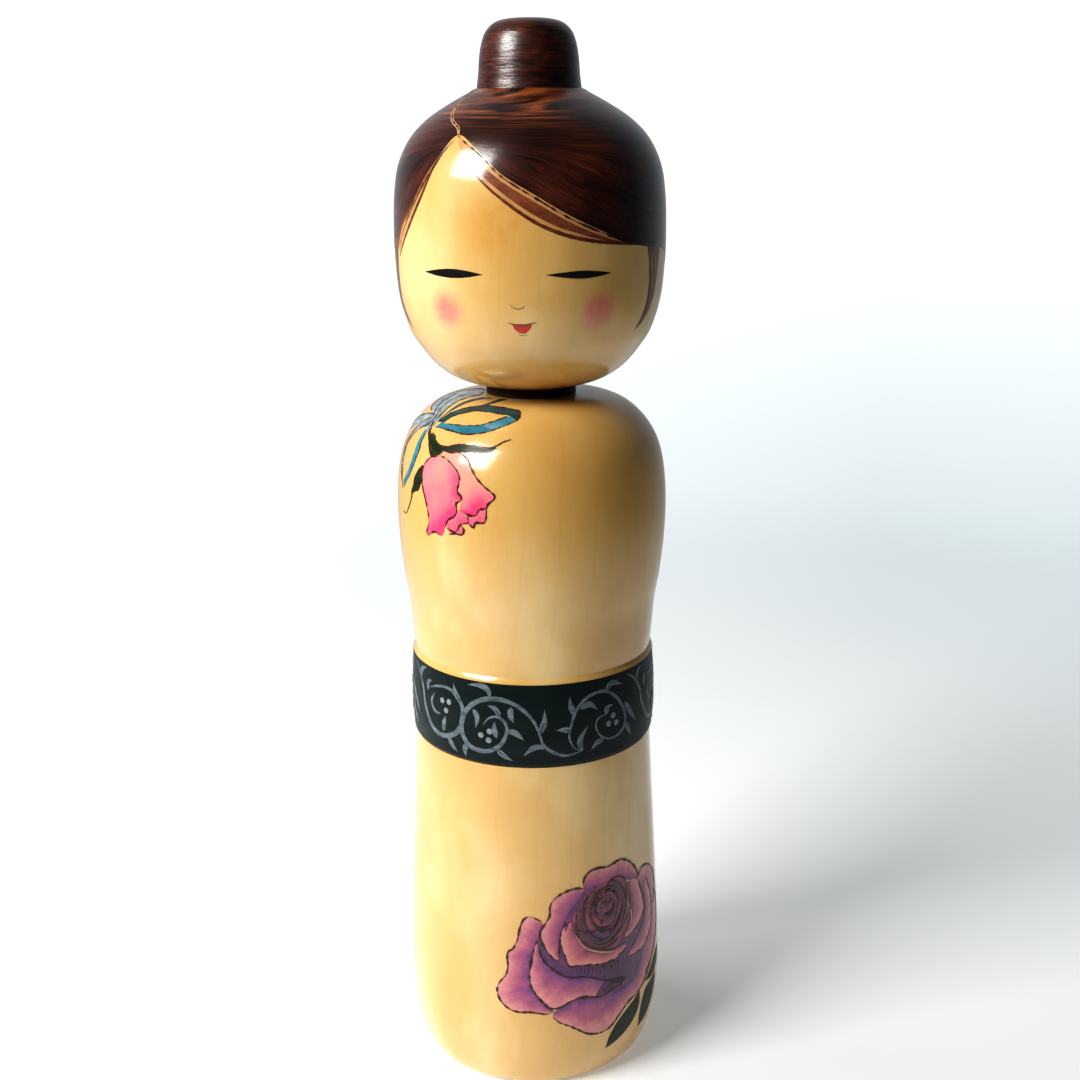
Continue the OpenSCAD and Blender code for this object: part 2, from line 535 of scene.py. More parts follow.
hair_stain, tree, shader = lacquered("hair_stain", 0.4)
brush = grain(tree, flow_of(tree, (0.045, 0.045, 0.27)), 1.0, 5, 0.62, 0.4)
fine = grain(tree, flow_of(tree, (0.2, 0.2, 2.2)), 1.0, 3, 0.6)
thin_and_lit = carried(tree, "thin_and_lit")["Fac"]
tree.links.new(stain_colour(tree, brush, fine, thin_and_lit), shader.inputs["Base Color"])
rise(tree, shader, fine, 0.02)

knot_stain, tree, shader = lacquered("knot_stain", 0.4, 0.95, 0.27)
brush = grain(tree, place(tree, (1, 1, 2.2)), 170, 4, 0.6, 0.4)
fine = grain(tree, place(tree, (0.12, 0.12, 1)), 1500, 3, 0.6)
tree.links.new(stain_colour(tree, brush, fine), shader.inputs["Base Color"])
rings = grain(tree, place(tree, (0.12, 0.12, 1)), 620, 4, 0.75)
rise(tree, shader, rings, 0.2)
nodes["topknot"].data.materials[0] = knot_stain

# %% [markdown]
# ## Burnt lines
#
# A hot pen draws the outlines before any colour goes on. It rests a little at each turn of the hand,
# so the line beads: darker and wider, then thin and brown.

# %% Burnt line
burnt, tree, shader = lacquered("burnt_line", 0.55, 0.35)
beads = grain(tree, place(tree), 620, 3, 0.7)
tree.links.new(ramp(tree, beads, (0.36, (0.009, 0.004, 0.003)), (0.64, (0.09, 0.027, 0.011))),
               shader.inputs["Base Color"])
rise(tree, shader, beads, 0.05)

# %% [markdown]
# ## Washes and solid paints
#
# The flowers are thin washes of dye: pale at the rim of a petal, deep at its base, with the brush
# strokes running from one to the other. The obi and its vine are solid paint.

# %% Wash and paint


def wash(name, rim, mid, deep, turn=0.5, blotch=0.72):
    """A dye wash that deepens from the rim of a petal to its base."""
    finish, tree, shader = lacquered(name, 0.42, 0.55)
    flow = carried(tree, "flow")["Vector"]
    depth = separate(tree, flow)[2]
    strokes = grain(tree, place(tree, (0.6, 0.12, 0), source=flow), 1.0, 3)
    pools = grain(tree, place(tree), 210, 4, 0.65)
    uneven = blend(tree, blotch, strokes, pools)
    mixed = blend(tree, turn, depth, uneven)
    tree.links.new(ramp(tree, mixed, (0.25, deep), (0.5, mid), (0.72, rim)),
                   shader.inputs["Base Color"])
    rise(tree, shader, pools, 0.015)
    return finish


def solid_paint(name, first, second, rough=0.4, scale=420, coat=COAT):
    """Opaque paint with faint brush marks."""
    finish, tree, shader = lacquered(name, rough, coat)
    shader.inputs["Specular IOR Level"].default_value = min(0.2, coat)
    marks = grain(tree, place(tree, (0.25, 0.25, 1)), scale, 4, 0.65)
    tree.links.new(ramp(tree, marks, (0.32, first), (0.68, second)), shader.inputs["Base Color"])
    rise(tree, shader, marks, 0.02)
    return finish


rose_wash = wash("rose_wash", (0.72, 0.28, 0.27), (0.45, 0.1, 0.18), (0.12, 0.02, 0.19), 0.55)
bud_wash = wash("bud_wash", (0.93, 0.33, 0.24), (0.9, 0.19, 0.24), (0.82, 0.05, 0.17), 0.5)
ribbon_dark = solid_paint("ribbon_dark", (0.004, 0.022, 0.02), (0.03, 0.11, 0.13), 0.4, 300, 0.5)
teal = solid_paint("ribbon_teal", (0.015, 0.12, 0.18), (0.05, 0.26, 0.34), 0.4, 420, 0.7)
slate = solid_paint("ribbon_slate", (0.1, 0.15, 0.18), (0.42, 0.48, 0.5), 0.4, 900)
green = solid_paint("leaf_green", (0.004, 0.013, 0.004), (0.02, 0.036, 0.009), 0.5, 420, 0.15)
obi_paint = solid_paint("obi_paint", (0.001, 0.006, 0.006), (0.003, 0.012, 0.012), 0.45, 240, 0.1)
vine_paint = solid_paint("vine_paint", (0.06, 0.085, 0.1), (0.19, 0.23, 0.26), 0.45, 700, 0.1)
berry_paint = solid_paint("berry_paint", (0.14, 0.17, 0.19), (0.3, 0.34, 0.36), 0.45, 900, 0.1)
ink = solid_paint("eye_ink", (0.003, 0.003, 0.003), (0.012, 0.01, 0.009), 0.4, 900)
lip_red = solid_paint("lip_red", (0.4, 0.014, 0.004), (0.58, 0.034, 0.008), 0.4, 900, 0.4)
bleed = solid_paint("stain_bleed", (0.52, 0.24, 0.08), (0.66, 0.36, 0.14), 0.45, 500)
# painted shade: a near-black film for the shadowed neck under the chin
neck_painted_shade = solid_paint("neck_painted_shade", (0.012, 0.006, 0.003), (0.04, 0.018, 0.008), 0.6, 500, 0.1)

# %% [markdown]
# ## Painted shade at the neck
#
# The head turns on the body on a short neck, deep in the shadow under the chin. A near-black film
# painted on the neck stands in for that shade. The ring lies on the head alone, so it turns with it.

# %% Painted shade on the neck
def ring(bm, wall, low, high, lift, step):
    """A band of film all the way round a wall."""
    half = wall.girth / 2
    fill(bm, wall, *([(-half, up), (0, up), (half, up)] for up in (low, high)), lift, step)


bm = paint()
ring(bm, neck, 0.05, neck.length - 0.05, 0.02, 0.6)
dry(bm, "neck_shade_ring", neck, neck_painted_shade, 0.02)

# %% [markdown]
# ## The hair
#
# The hair is swept from a parting on the left over the forehead to the right ear, and it is one stained
# area that runs round the whole head up to the topknot. It is a single film, cut at the hairline. Its
# flow follows the hairline, so that the brush marks run the way the hair is combed. Where the film's two
# ends meet at the nape, the flow is wrapped round a circle, which keeps the marks free of a seam.

# %% Hairline
BACK = skull.girth / 2
HAIRLINE = [(-BACK, 15), (-95, 16), (-78, 26), (-64, 41), (-54, 48), (-47, 50), (-42, 50.5),
            (-39.5, 54), (-33, 61), (-27.5, 68), (-23.5, 73.5), (-19, 79.7), (-10, 74.3),
            (-4, 69.3), (5, 64), (14.5, 58.6), (26, 53.6), (31, 51.6), (40, 50.2), (47, 49.5),
            (54, 47.6), (64, 41), (78, 26), (95, 16), (BACK, 15)]
PARTING = [(-18.6, 79), (-20.5, 81.8), (-24, 83.7), (-27, 85.6), (-32, 89.8), (-36, 93.5),
           (-42, 97.5), (-46, 100)]


def height_at(line, across):
    """Height of a line of the paper over a place across."""
    i = min(max(bisect.bisect([p[0] for p in line], across), 1), len(line) - 1)
    (x0, y0), (x1, y1) = line[i - 1][:2], line[i][:2]
    return y0 + (y1 - y0) * (across - x0) / (x1 - x0)


# %% Hair film
hairline = flowing(HAIRLINE, 1)
fringe = [(-60, 103), (-34, 89), *HAIRLINE[12:]]
bm = paint()
flow = bm.verts.layers.float_vector["flow"]
thin_and_lit_share = bm.verts.layers.float.new("thin_and_lit")
for v, u, s in grid(bm, 232, 72):
    x = (2 * u - 1) * BACK
    low = height_at(hairline, x)
    y = skull.length - (skull.length - low) * (1 - s) ** 1.4
    right_side = x > height_at([(b, a) for a, b in PARTING], y)
    comb = y - (height_at(fringe, x) if right_side and x < 40 else low)
    level = soft(y, 72, 90)
    turn = x / skull.widest
    comb = comb * (1 - level) + (y - 6 * math.sin(turn)) * level
    v[flow] = (skull.widest * math.sin(turn), skull.widest * math.cos(turn), comb)
    top = soft(y, 80, 88) * soft(x, -44, -32) * (1 - soft(x, 4, 26))
    # painted light: the stain is made thinner and warmer low on the left, where the window light falls
    left = 0.55 * soft(-x, 34, 40) * (1 - soft(-x, 44, 60)) * (1 - soft(y, 60, 72))
    v[thin_and_lit_share] = max(top, left, 0.35 * soft(y, 86, 96))
    v.co = skull.put(x, y, 0.07 + 0.1 * soft(y, 98.2, 99.6))
dry(bm, "hair", skull, hair_stain)

# %% [markdown]
# ## Strands, sideburns and comb lines
#
# Under the fringe lie a lighter strand and a darker line, with bare wood between them. The parting and
# the fringe's upper edge are scraped pale through the stain, and a hot pen has dotted them.

# %% Stain that bled into the bare wood
bm = paint()
fill(bm, skull, [(-18.8, 79.4), (-13, 75.8), (-4, 69.3), (5, 64), (14.5, 58.6), (26, 53.7), (31, 51.9)],
     [(-18.8, 79), (-13.5, 70.8), (-6.5, 65.3), (2, 59.2), (14.5, 53.8), (22, 52.4), (31, 51.4)],
     0.015, 0.9)
fill(bm, skull, [(-19.2, 79.5), (-23.5, 73.5), (-27.5, 68), (-33, 61), (-39.5, 54), (-42, 50.5)],
     [(-19, 79), (-22, 74.8), (-25.2, 69.3), (-28.9, 62.9), (-34, 56), (-40.5, 48)], 0.015, 0.9)
dry(bm, "stain_bleed", skull, bleed)

# %% Strands and sideburns
strand_stain = solid_paint("strand_stain", (0.14, 0.035, 0.015), (0.28, 0.085, 0.035), 0.42, 700)
bm = paint()
fill(bm, skull, [(-14.5, 74.3), (-10, 72), (-4, 67.6), (5, 62.3), (14.5, 57), (24, 53.3), (31, 51.6)],
     [(-14.5, 74), (-10, 69.7), (-5, 65.7), (2, 60.8), (9, 57), (15, 54.9), (22, 53), (31, 51.2)],
     0.03, 0.8)
dry(bm, "fringe_strand", skull, strand_stain)

line_stain = solid_paint("line_stain", (0.05, 0.012, 0.006), (0.19, 0.05, 0.018), 0.42, 700)
SIDEBURN_IN = [(39, 50.8), (40.5, 45), (41, 39), (40.5, 34), (38, 28)]
SIDEBURN_OUT = [(47, 50.2), (46, 43), (44.5, 35.5), (41.5, 30.5), (38, 28)]
bm = paint()
for points, width in (([(-12.5, 70.6), (-6.5, 65.3), (2, 59.2), (8, 56), (14.5, 53.8), (22, 52.4),
                        (32, 51.4), (40, 50.8)], 1.0),
                      ([(-21.5, 76), (-25, 69.8), (-28.5, 63.3), (-33, 57), (-38.5, 50.5),
                        (-41, 47.5)], 0.9),
                      ([(-21, 76), (-26.4, 68.2), (-31.8, 61), (-38.3, 53.7), (-41.5, 49.5)], 0.4)):
    stroke(bm, skull, points, width, 0.04, sweep)
for side, shift in ((1, 0), (-1, -3)):
    edges = [[(side * x + shift, y) for x, y in line] for line in (SIDEBURN_IN, SIDEBURN_OUT)]
    fill(bm, skull, *edges, 0.03, 0.8)
dry(bm, "hair_lines", skull, line_stain)

# %% Scraped and dotted lines
scraped = solid_paint("scraped_line", (0.6, 0.33, 0.14), (0.75, 0.5, 0.26), 0.45, 900)
bm = paint()
stroke(bm, skull, PARTING, 0.75, 0.1, pen)
stroke(bm, skull, [(40.5, 49.6), (42.3, 44), (42.8, 38), (42, 33)], 0.35, 0.1, sweep)
stroke(bm, skull, [(43, 49.4), (44.3, 44), (44, 38)], 0.35, 0.1, sweep)
dry(bm, "scraped_lines", skull, scraped)

bm = paint()
stroke(bm, skull, [(-18.9, 79.3), (-10, 73.8), (-4, 68.7), (5, 63.3), (14.5, 57.9), (26, 53.3),
                   (31, 51.7)], 0.34, 0.12, pen, waver=0.9)
stroke(bm, skull, PARTING, 0.26, 0.16, pen, waver=1.2)
stroke(bm, skull, [(-20.2, 77.8), (-24.8, 71), (-29.5, 64.7), (-36, 57)], 0.22, 0.1, pen, waver=0.9)
dry(bm, "comb_dots", skull, burnt)

# %% [markdown]
# ## The face
#
# A kokeshi face is a handful of brush strokes: two closed lids, a tiny nose, and a mouth of one dark
# line over a red lip. Each is drawn in one go with a fine brush, so each is one small film here.

# %% Eyes
bm = paint()
for lid, fold in (([(-27.2, 44.6), (-22.5, 45.4), (-18, 45.8), (-13.5, 45.5), (-9, 44.7)],
                   [(-27.2, 44.5), (-22.5, 43.8), (-18, 43.5), (-13.5, 43.8), (-9, 44.6)]),
                  ([(7.4, 44.7), (12, 45.2), (16.5, 45.5), (21, 45.2), (25.2, 44.6)],
                   [(7.4, 44.6), (12, 43.9), (16.5, 43.5), (21, 43.8), (25.2, 44.5)])):
    fill(bm, skull, fold, lid, 0.04, 0.5)
dry(bm, "eyes", skull, ink)

# %% Nose and mouth
fine_line = solid_paint("fine_line", (0.14, 0.075, 0.04), (0.24, 0.13, 0.07), 0.45, 900)
bm = paint()
stroke(bm, skull, [(-2, 37.3), (-1.2, 36.5), (0, 36.1), (1.1, 36.3), (1.9, 37)], 0.24, 0.05, sweep)
stroke(bm, skull, [(-0.2, 29.3), (1.1, 28.9), (2.6, 29.2)], 0.16, 0.05, sweep)
dry(bm, "nose", skull, fine_line)

bm = paint()
stroke(bm, skull, [(-2.7, 32.5), (-1, 32), (1, 31.9), (3.1, 32.1), (4.8, 32.6)], 0.38, 0.08, sweep)
dry(bm, "mouth_line", skull, line_stain)

bm = paint()
fill(bm, skull, [(-1.6, 32.2), (-1.2, 31), (0, 29.9), (1.1, 29.5), (2.3, 29.8), (3.3, 30.9), (3.8, 32.2)],
     [(-1.5, 32.3), (-0.4, 31.9), (1, 31.8), (2.6, 31.9), (3.7, 32.3)],
     0.05, 0.4)
dry(bm, "lip", skull, lip_red)

# %% [markdown]
# ## The ribbon bow on the shoulder
#
# A loose bow hangs over the left shoulder, tied above a rosebud. Each loop is a band of solid paint:
# dark on its inner side, bright where it turns to the light. The bands lie over each other by
# two hundredths of a millimetre, as coats of paint do.

# %% Ribbon loops
bm = paint()
fill(bm, torso, [(-34.5, 70), (-33, 72.3), (-29.5, 75.7), (-24.5, 78.5), (-18.5, 80), (-10.5, 79.8),
                 (-5, 78.8), (-1.5, 77.8)],
     [(-31, 70.3), (-29, 72.8), (-25, 74.9), (-20.5, 76.4), (-15, 76.6), (-9.5, 76), (-6, 75.8),
      (-3.5, 74.5)], 0.05, 0.8)
fill(bm, torso, [(-2, 77.8), (-1.3, 76.5), (-1.3, 74.8)], [(-5.5, 76), (-4, 75), (-2.2, 73.7)],
     0.07, 0.6)
fill(bm, torso, [(-14.8, 88), (-16.5, 86), (-17.5, 83.5), (-18.3, 81.5), (-19.2, 79.8)],
     [(-21.8, 88), (-21.6, 86.2), (-21.3, 83.8), (-21.3, 81.8), (-22.3, 79.5)], 0.03, 0.8)
fill(bm, torso, [(-34.6, 71.2), (-33.2, 73.9), (-32.3, 76.2), (-31.8, 79.3), (-30.6, 83.5), (-27, 86.8)],
     [(-35, 71), (-34.4, 74.8), (-35, 78), (-35.3, 80.7), (-35.8, 83.2), (-36.6, 86)], 0.03, 0.8)
dry(bm, "ribbon_shade", torso, ribbon_dark)

bm = paint()
fill(bm, torso, [(-33.5, 68.4), (-29.5, 68.5), (-24, 68.3), (-19, 68), (-12.5, 69.1), (-7.5, 71),
                 (-2.4, 73.5)],
     [(-32, 70.2), (-28, 70.1), (-23.5, 70.4), (-18, 70.8), (-14, 71.6), (-10, 73.2), (-4.2, 75.4)],
     0.06, 0.8)
fill(bm, torso, [(-36.7, 66.6), (-36.6, 64), (-36, 60), (-36.7, 56), (-39, 52.5), (-42, 49.2)],
     [(-38.5, 66.8), (-38.8, 63.7), (-38.6, 59.7), (-39.5, 55.6), (-41.5, 52.5), (-43.2, 50.5)],
     0.05, 0.8)
dry(bm, "ribbon_light", torso, teal)

bm = paint()
LOOP_LOW = [(-36, 70.3), (-36.6, 73.8), (-38, 76.8), (-39.5, 79.5), (-42.5, 84), (-46, 86.6), (-56, 88.2)]
LOOP_HIGH = [(-46, 72), (-52, 73), (-57, 74.8), (-62.5, 79.3), (-68, 83.5), (-70.5, 86.2), (-64, 88.2)]
fill(bm, torso, LOOP_HIGH, LOOP_LOW, 0.04, 1.0)
fill(bm, torso, [(-38, 69), (-41.5, 67), (-44.3, 64.8), (-46.6, 61.5), (-46.4, 57.5), (-45.6, 54),
                 (-44.3, 51)],
     [(-39, 70.5), (-43, 69.3), (-46, 66.3), (-48.3, 62), (-48, 58), (-47, 54), (-43, 48.8)],
     0.04, 0.8)
fill(bm, torso, [(-40, 69.5), (-46, 67.3), (-52, 64.4), (-57, 61)],
     [(-40, 71.6), (-46, 71), (-53, 68.5), (-60, 64)], 0.03, 0.8)
dry(bm, "ribbon_back", torso, slate)

bm = paint()
fill(bm, torso, [(-39.8, 67), (-37.8, 66.4), (-35.6, 67.5)], [(-40.2, 71.2), (-37.5, 72.4), (-34.4, 71)],
     0.09, 0.6)
dry(bm, "ribbon_knot", torso, slate)

# %% [markdown]
# ## The rosebud
#
# The bud hangs from a dark green calyx. Two long petals open into ruffled pink rims, and three small
# ones show below. Colour is deepest at the rims.

# %% Bud petals
bm = paint()
PETAL_LEFT = [(-28.5, 60.5), (-31, 58), (-31.5, 55), (-30.5, 51.5), (-29, 48.5), (-27.7, 45),
              (-27.4, 42.5), (-28.4, 39.7), (-27.8, 38.8), (-25.3, 40.3), (-23.2, 39.6),
              (-22.2, 39.9), (-21.5, 42)]
PETAL_LEFT_RIM = [(-26.5, 61.2), (-22.5, 60.3), (-19, 58.4), (-17.2, 56.4), (-17.2, 54.3),
                  (-17.5, 52.4), (-16.1, 51), (-16.3, 50), (-17.7, 49.2), (-17.4, 47.2),
                  (-18.3, 45.5), (-20.3, 44.3), (-21.3, 42.2)]
PETAL_RIGHT = [(-24.5, 61.5), (-21.5, 59.8), (-18.5, 58.3), (-17, 56.3), (-17.2, 54), (-17, 52.3),
               (-15.9, 51), (-16.2, 49.6), (-16.6, 47.6)]
PETAL_RIGHT_RIM = [(-24.2, 62.3), (-19, 62.6), (-15.5, 61.2), (-14, 59.2), (-12, 56.6), (-9.5, 54.4),
                   (-6.6, 52.4), (-6.7, 51.2), (-8.3, 49.8), (-8.7, 48.7), (-10.7, 48.2),
                   (-11.4, 46.9), (-12.4, 46.4), (-14.2, 46.6), (-16.6, 47.5)]
fill(bm, torso, PETAL_RIGHT, PETAL_RIGHT_RIM, 0.03, 0.8,
     lambda u, s: 1 - max(soft(u, 0.45, 0.85) * soft(s, 0, 0.8), 0.5 * soft(u, 0.5, 1)))
for low, high in (([(-20.7, 42), (-18.4, 41.3), (-17.3, 41.8), (-16.2, 43.7), (-14, 44.4)],
                   [(-20.5, 44.3), (-18.3, 45.5), (-17.4, 47), (-16.4, 47.4), (-14.2, 46.5)]),
                  ([(-19.9, 40.4), (-18, 40.9), (-15.8, 40.9), (-15.2, 42.3)],
                   [(-20, 41.6), (-18.4, 41.2), (-17.4, 41.8), (-16.2, 43.5)]),
                  ([(-13.9, 44.2), (-12.3, 43.2), (-11.8, 44.6), (-9.1, 45), (-8.6, 46.8)],
                   [(-14.1, 46.5), (-12.4, 46.3), (-11.4, 46.9), (-10.6, 48.1), (-8.7, 48.6)])):
    fill(bm, torso, low, high, 0.03, 0.6, lambda u, s: 0.2 + 0.35 * s)
dry(bm, "bud_petals", torso, bud_wash)

bm = paint()
fill(bm, torso, PETAL_LEFT, PETAL_LEFT_RIM, 0.05, 0.8,
     lambda u, s: 0.85 - 0.85 * max(soft(u, 0.3, 0.85), soft(s, 0.5, 1) * soft(u, 0.1, 0.45),
                                    0.45 * (1 - s)))
dry(bm, "bud_front_petal", torso, bud_wash)

# %% Calyx and leaves
bm = paint()
fill(bm, torso, [(-35, 66.3), (-33.6, 64.6), (-31.5, 62.3), (-30, 60.7), (-28.3, 60), (-27, 60.5)],
     [(-34.5, 66.3), (-31.5, 65.8), (-29.2, 64.4), (-25.2, 63), (-25.6, 61.6), (-26.6, 60.8)],
     0.08, 0.6)
fill(bm, torso, [(-26, 62.6), (-22, 62.3), (-18.7, 62.8), (-14, 63.4), (-10, 63.6), (-7.4, 64.6)],
     [(-28.3, 63.8), (-23.8, 63.6), (-19.8, 64.7), (-15, 64.9), (-10.3, 64.7), (-7.2, 65.2)],
     0.05, 0.6)
fill(bm, torso, [(-31.3, 57.5), (-31.2, 53.5), (-32.7, 50.6), (-35.5, 49), (-36.3, 47)],
     [(-32, 57.3), (-34.5, 54.3), (-35.6, 51), (-36.4, 49), (-36.7, 46.7)], 0.05, 0.6)
stroke(bm, torso, [(-35.9, 68), (-34.8, 66), (-33, 65)], 0.9, 0.08)
dry(bm, "bud_leaves", torso, green)

# %% Burnt outlines of bow and bud
PEN_LINE = 0.32
bm = paint()
for line in (
    [(-34.5, 70), (-33, 72.4), (-29.5, 75.8), (-24.5, 78.6), (-18.5, 80.1), (-10.5, 79.9),
     (-5, 78.9), (-1.5, 77.9), (-1.2, 75), (-2.2, 73.5), (-7.5, 70.9), (-12.5, 69), (-19, 67.9),
     (-24, 68.2), (-29.5, 68.4), (-34, 68.3)],
    [(-31, 70.3), (-29, 72.8), (-25, 74.9), (-20.5, 76.4), (-15, 76.6), (-9.5, 76), (-5.5, 75.6),
     (-10, 73.2), (-14, 71.6), (-18, 70.8), (-23.5, 70.4), (-29, 70.1)],
    LOOP_LOW, LOOP_HIGH,
    [(-39, 68.2), (-41.5, 67), (-44.3, 64.8), (-46.6, 61.5), (-46.4, 57.5), (-45.6, 54), (-44.3, 51)],
    [(-40, 70.5), (-43, 69.3), (-46, 66.3), (-48.3, 62), (-48, 58), (-47, 54), (-43, 48.8)],
    [(-40, 71.6), (-46, 71), (-53, 68.5), (-60, 64)],
    [(-39.9, 67), (-38.2, 69.4), (-37.6, 72.2)], [(-39.2, 72), (-37.2, 69.6), (-35.4, 67.6)],
    [(-36.4, 71.8), (-36.4, 69.4), (-37, 66.8)], [(-36.7, 66.6), (-36.6, 63), (-36, 60), (-39, 52.5)],
    [(-40.2, 71), (-48, 75.5), (-56, 80.5)], [(-38.6, 71.4), (-44, 77), (-50, 83)],
    [(-28.3, 63.8), (-23.8, 63.7), (-19.8, 64.8), (-15, 64.9), (-10.3, 64.7), (-7.2, 65.4),
     (-5.2, 66.6), (-2.8, 67.4)],
    [(-26, 62.6), (-22, 62.3), (-18.7, 62.7), (-14, 63.3), (-10, 63.5), (-7, 64.8)],
    [(-31.2, 53.5), (-32.7, 50.6), (-35.5, 49), (-36.5, 46.7), (-38, 44.3), (-40, 42.3), (-41.8, 42.6)],
    [(-32, 57.3), (-34.5, 54.3), (-35.6, 51), (-36.4, 49)],
    [(-34.9, 66.3), (-33.4, 64.5), (-30.2, 62.4), (-29.3, 60.5), (-27.1, 60.3), (-25.5, 61.6),
     (-25.1, 63.1), (-29.2, 64.5), (-31.4, 66), (-34.6, 66.6)],
):
    stroke(bm, torso, line, PEN_LINE, 0.11, pen, waver=0.9)
for line in (PETAL_LEFT[:-1], PETAL_LEFT_RIM, PETAL_RIGHT_RIM,
             [(-20.7, 42), (-18.4, 41.3), (-17.3, 41.8), (-16.2, 43.7), (-14, 44.4), (-14.1, 46.2)],
             [(-19.9, 40.4), (-18, 40.9), (-15.8, 40.9), (-15.2, 42.3), (-16.2, 43.6)],
             [(-14, 44.3), (-12.3, 43.2), (-11.8, 44.6), (-9.1, 45), (-8.6, 48.6)]):
    stroke(bm, torso, line, PEN_LINE + 0.08, 0.12, pen, waver=0.9)
dry(bm, "bow_outline", torso, burnt)

# %% [markdown]
# ## The obi and its scrolling vine
#
# The sash is a turned step in the body, painted nearly black. A silver vine winds along it: one unit of
# stems, leaves and berries, painted three times round. Drawing the unit once and repeating it keeps the
# spacing exact, as the painter's own measuring does.

# %% Sash paint
bm = paint()
ring(bm, obi, 2, 25.2, 0.05, 1.6)
ring(bm, obi, 0.15, 2, 0.06, 0.35)
dry(bm, "obi_sash", obi, obi_paint, 0.09)

# %% Vine, leaves and berries
STEMS = (([(-41, 24), (-38, 22), (-35, 18), (-33.5, 13), (-30.5, 8.5), (-27, 6.5), (-23, 7),
           (-19.5, 9), (-17.6, 12.5), (-17.6, 17), (-20, 20), (-23.2, 21.2), (-27, 20.7),
           (-30.5, 19.5)], 1.5),
         ([(-28.5, 18.3), (-30, 15.5), (-28.5, 13), (-25.8, 12.8)], 1.0),
         ([(6, 8), (5, 11), (3.3, 15), (0, 18.5), (-4, 20.5), (-8.5, 20.8), (-12.6, 19.5),
           (-16, 16.5), (-17.8, 12.5), (-17.4, 8.8), (-15.5, 6), (-12.3, 5), (-8.7, 5.6),
           (-5.6, 8), (-4, 11.7), (-4.6, 14.3), (-6.5, 15.7), (-9, 15.2), (-10.8, 13.2)], 1.45),
         ([(5, 11), (6, 8), (8.5, 5.7), (12.3, 4.2), (16.7, 4.8)], 1.0),
         ([(16.7, 4.8), (14.6, 6.5), (13.3, 9.5), (13.8, 13), (15.3, 17), (18, 20), (21.5, 21.3),
           (25, 21), (28.8, 18.2), (31.5, 14), (32, 10), (29.6, 7.3), (25.8, 6.8), (22.6, 8.7),
           (21.3, 12), (22.6, 14), (25, 14.3)], 1.0))
LEAVES = ([(-32, 18), (-31.8, 20.6), (-30, 21.5)], [(-18, 18), (-20, 20.6), (-20.8, 23.4)],
          [(-24.5, 8), (-24.4, 10.5), (-23.5, 13)], [(-22.8, 7), (-21.4, 4.6), (-19.5, 2.9)],
          [(-36.5, 20.5), (-36, 23), (-33, 24.6)],
          [(-8.8, 21), (-9.5, 23.3), (-12.2, 24.2), (-16, 23.8)], [(-14, 17), (-12.7, 14.8), (-13.2, 11.5)],
          [(-6, 15.8), (-7.2, 17.9), (-9.6, 18.8)], [(-2.7, 19), (-3, 16.7), (-2, 14.2)],
          [(-4, 11.7), (-1.8, 11.5), (0.8, 9.3)], [(-7, 6.2), (-5, 4.4), (-2.4, 3)],
          [(-16.4, 6.4), (-17, 4), (-16.6, 2.2)], [(-6.9, 9.5), (-7.6, 12), (-7.5, 14.5)],
          [(5, 11), (6.3, 14.8), (6.4, 18.5)], [(7, 7.2), (3.5, 7.2), (0.4, 4.5)],
          [(15.2, 15.5), (13.8, 18.6), (13.5, 21.6)], [(13.9, 11.5), (11.8, 12), (9.5, 12)],
          [(16.4, 17.4), (19.3, 18.4), (22, 16.3)], [(17.2, 4.7), (16.4, 8.2), (18.8, 12.2)],
          [(24.8, 21.2), (27, 23), (31.2, 21.6)], [(31.8, 16.2), (34.6, 12.2), (37.2, 9)],
          [(32, 10.1), (33.4, 7.7), (35.1, 5)], [(24, 7.2), (21.6, 6.4), (19.9, 4.6)],
          [(24.8, 14.2), (25.1, 16.1), (27.2, 16.8)])
BERRIES = ((-25.1, 17), (-22.4, 17.2), (-23.5, 14.4), (-11.6, 9.8), (-9, 11.2), (-9.3, 8.6),
           (27.3, 13.4), (25.7, 11.3), (28.4, 11))
UNIT = obi.girth / 3
stems, veins, berries = paint(), paint(), paint()
for unit in (-1, 0, 1):
    def on(line):
        return [(x + unit * UNIT, y) for x, y in line]
    for line, width in STEMS:
        stroke(stems, obi, on(line), width, 0.11, sweep, 0.05)
    for line in LEAVES:
        stroke(stems, obi, on(line), 2.3, 0.14, leaf, 0.06)
    for line in LEAVES[1::3]:
        stroke(veins, obi, on(line[:2]), 0.45, 0.2, leaf)
    for x, y in BERRIES:
        dot(berries, obi, x + unit * UNIT, y, 0.85, 0.12)
dry(stems, "obi_vine", obi, vine_paint)
dry(veins, "obi_leaf_veins", obi, obi_paint)
dry(berries, "obi_berries", obi, berry_paint)

# %% [markdown]
# ## The big rose on the skirt
#
# The rose is built like the flower: wide outer petals first, then the cup, then the tight heart. A
# petal is a film ruled from its base line to its rim, so that the dye can be deep in the fold and pale
# at the rim. Later petals lie higher, and the burnt outline goes over all.

# %% Outer petals
deep_fold = wash("rose_fold", (0.24, 0.045, 0.11), (0.11, 0.02, 0.12), (0.045, 0.01, 0.045), 0.75)
bm = paint()
fill(bm, skirt, [(2.6, 46), (5, 40), (10, 34), (18, 31.5), (26, 30), (36, 30.5), (46, 36)],
     [(5, 54), (12, 63), (18, 66), (27, 65), (36, 63), (44, 60), (50, 50)], 0.03)
dry(bm, "rose_folds", skirt, deep_fold)

